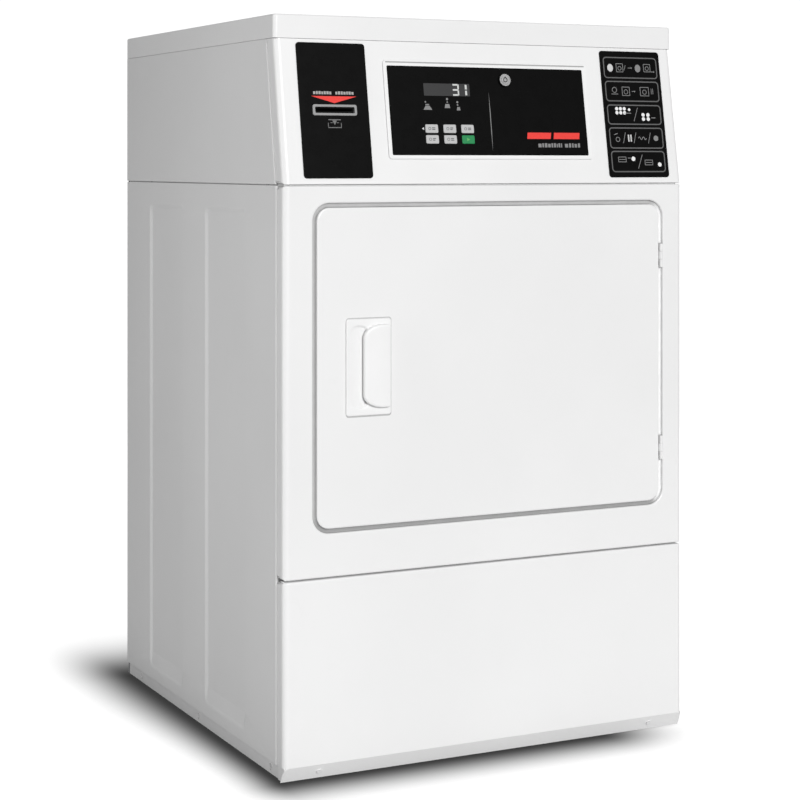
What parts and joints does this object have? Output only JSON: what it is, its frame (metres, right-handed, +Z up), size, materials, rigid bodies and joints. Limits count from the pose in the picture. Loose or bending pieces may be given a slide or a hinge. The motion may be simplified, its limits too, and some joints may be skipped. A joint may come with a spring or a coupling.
{
  "type": "tumble dryer",
  "caption": "Free-standing front-loading commercial tumble dryer with slanted control console, card slot, side-hinged door, belt-driven drum and rear exhaust.",
  "frame": {"origin": "centre of the footprint of the whole machine, at floor level under the feet", "axes": "+Z up, the door and console face -Y, +X to the right of a person facing the door"},
  "size_m": [0.686, 0.745, 1.1085],
  "materials": {
    "white_paint": "smooth gloss white powder coat",
    "white_liner": "satin white paint",
    "white_plastic": "moulded white plastic",
    "black_plate": "screen-printed black polycarbonate",
    "key_light": "light grey key cap",
    "key_green": "green start key cap",
    "reader_grey": "dark grey moulded reader",
    "lock_chrome": "plated lock",
    "galvanised": "galvanised sheet steel",
    "drum_steel": "stainless drum",
    "bright_steel": "bright turned steel",
    "motor_grey": "motor enamel",
    "black_rubber": "moulded rubber",
    "felt": "wool felt",
    "board_green": "circuit board",
    "element_brown": "heat-stained sheath",
    "nylon": "nylon",
    "plunger_red": "red plunger",
    "filter_mesh": "framed lint screen"
  },
  "bodies": {
    "cabinet": {"base_pan": "white_paint", "side_panel_left": "white_paint", "side_panel_right": "white_paint", "hood_side_left": "white_paint", "hood_side_right": "white_paint", "top_cover": "white_paint", "rear_panel": "galvanised", "front_panel": "white_paint", "lower_panel": "white_paint", "control_panel": "white_paint", "card_reader_plate": "black_plate", "card_reader": "reader_grey", "console_bezel": "white_plastic", "display_overlay": "black_plate", "control_board": "board_green", "lock_housing": "lock_chrome", "instruction_plate": "black_plate", "hinge_brackets": "white_paint", "hinge_pins": "bright_steel", "door_catch": "white_plastic", "front_bulkhead": "galvanised", "front_felt_seal": "felt", "rear_bulkhead": "galvanised", "drum_belt": "black_rubber", "motor": "motor_grey", "motor_bracket": "galvanised", "idler_spring": "bright_steel", "blower_housing": "galvanised", "lint_chute": "galvanised", "heater_box": "galvanised", "heating_element": "element_brown", "exhaust_duct": "galvanised", "panel_screws": "bright_steel", "wiring_harness": "black_rubber"},
    "door": {"door_outer": "white_paint", "door_liner": "white_liner", "door_seal": "black_rubber", "door_handle": "white_plastic", "hinge_straps": "white_paint"},
    "drum": {"drum": "drum_steel", "drum_baffles": "drum_steel"},
    "motor_rotor": {"motor_shaft": "bright_steel", "blower_impeller": "nylon"},
    "idler_arm": {"idler_arm": "galvanised"},
    "idler_pulley": {"idler_pulley": "nylon"},
    "roller_left": {"roller_left": "black_rubber"},
    "roller_right": {"roller_right": "black_rubber"},
    "lint_filter": {"lint_filter": "filter_mesh"},
    "key_1": {"key_1": "key_light"},
    "key_2": {"key_2": "key_light"},
    "key_3": {"key_3": "key_light"},
    "key_4": {"key_4": "key_light"},
    "key_5": {"key_5": "key_light"},
    "key_start": {"key_start": "key_green"},
    "lock_core": {"lock_core": "lock_chrome"},
    "switch_plunger": {"switch_plunger": "plunger_red"},
    "leg_front_left": {"leg_front_left": "black_rubber"},
    "leg_front_right": {"leg_front_right": "black_rubber"},
    "leg_rear_left": {"leg_rear_left": "black_rubber"},
    "leg_rear_right": {"leg_rear_right": "black_rubber"}
  },
  "joints": [
    {"name": "door_hinge", "type": "hinge", "parent": "cabinet", "child": "door", "pos_m": [0.3022, -0.3611, 0.5948], "axis": [0, 0, 1], "range_deg": [0, 170]},
    {"name": "drum_spin", "type": "hinge", "parent": "cabinet", "child": "drum", "pos_m": [0.0048, -0.0455, 0.595], "axis": [0, 1, 0], "continuous": true},
    {"name": "motor_spin", "type": "hinge", "parent": "cabinet", "child": "motor_rotor", "pos_m": [0.15, -0.1105, 0.165], "axis": [0, 1, 0], "continuous": true},
    {"name": "idler_pivot", "type": "hinge", "parent": "cabinet", "child": "idler_arm", "pos_m": [0.10137, 0.0535, 0.22261], "axis": [0, 1, 0], "range_deg": [0, 12], "stiffness_Nm_per_rad": 1.2, "springref_deg": -20.05},
    {"name": "idler_pulley_spin", "type": "hinge", "parent": "idler_arm", "child": "idler_pulley", "pos_m": [0.03337, 0.0395, 0.22861], "axis": [0, 1, 0], "continuous": true},
    {"name": "roller_left_spin", "type": "hinge", "parent": "cabinet", "child": "roller_left", "pos_m": [-0.19492, 0.1795, 0.30977], "axis": [0, 1, 0], "continuous": true},
    {"name": "roller_right_spin", "type": "hinge", "parent": "cabinet", "child": "roller_right", "pos_m": [0.20452, 0.1795, 0.30977], "axis": [0, 1, 0], "continuous": true},
    {"name": "lint_filter_slide", "type": "slide", "parent": "cabinet", "child": "lint_filter", "axis": [0, 0, 1], "range_m": [0, 0.11]},
    {"name": "key_1_press", "type": "slide", "parent": "cabinet", "child": "key_1", "axis": [0, 0.9868, -0.1618], "range_m": [0, 0.001], "stiffness_N_per_m": 80},
    {"name": "key_2_press", "type": "slide", "parent": "cabinet", "child": "key_2", "axis": [0, 0.9868, -0.1618], "range_m": [0, 0.001], "stiffness_N_per_m": 80},
    {"name": "key_3_press", "type": "slide", "parent": "cabinet", "child": "key_3", "axis": [0, 0.9868, -0.1618], "range_m": [0, 0.001], "stiffness_N_per_m": 80},
    {"name": "key_4_press", "type": "slide", "parent": "cabinet", "child": "key_4", "axis": [0, 0.9868, -0.1618], "range_m": [0, 0.001], "stiffness_N_per_m": 80},
    {"name": "key_5_press", "type": "slide", "parent": "cabinet", "child": "key_5", "axis": [0, 0.9868, -0.1618], "range_m": [0, 0.001], "stiffness_N_per_m": 80},
    {"name": "key_start_press", "type": "slide", "parent": "cabinet", "child": "key_start", "axis": [0, 0.9868, -0.1618], "range_m": [0, 0.001], "stiffness_N_per_m": 80},
    {"name": "lock_turn", "type": "hinge", "parent": "cabinet", "child": "lock_core", "pos_m": [0.0339, -0.33462, 1.01799], "axis": [0, 0.9868, -0.1618], "range_deg": [0, 90]},
    {"name": "switch_plunger_press", "type": "slide", "parent": "cabinet", "child": "switch_plunger", "axis": [0, 1, 0], "range_m": [0, 0.0025], "stiffness_N_per_m": 60},
    {"name": "leg_front_left_adjust", "type": "slide", "parent": "cabinet", "child": "leg_front_left", "axis": [0, 0, -1], "range_m": [0, 0.025]},
    {"name": "leg_front_right_adjust", "type": "slide", "parent": "cabinet", "child": "leg_front_right", "axis": [0, 0, -1], "range_m": [0, 0.025]},
    {"name": "leg_rear_left_adjust", "type": "slide", "parent": "cabinet", "child": "leg_rear_left", "axis": [0, 0, -1], "range_m": [0, 0.025]},
    {"name": "leg_rear_right_adjust", "type": "slide", "parent": "cabinet", "child": "leg_rear_right", "axis": [0, 0, -1], "range_m": [0, 0.025]}
  ],
  "couplings": [
    {"joint": "motor_spin", "follows": "drum_spin", "ratio": 15.5},
    {"joint": "idler_pulley_spin", "follows": "drum_spin", "ratio": 12.4},
    {"joint": "roller_left_spin", "follows": "drum_spin", "ratio": -8.1579},
    {"joint": "roller_right_spin", "follows": "drum_spin", "ratio": -8.1579}
  ]
}
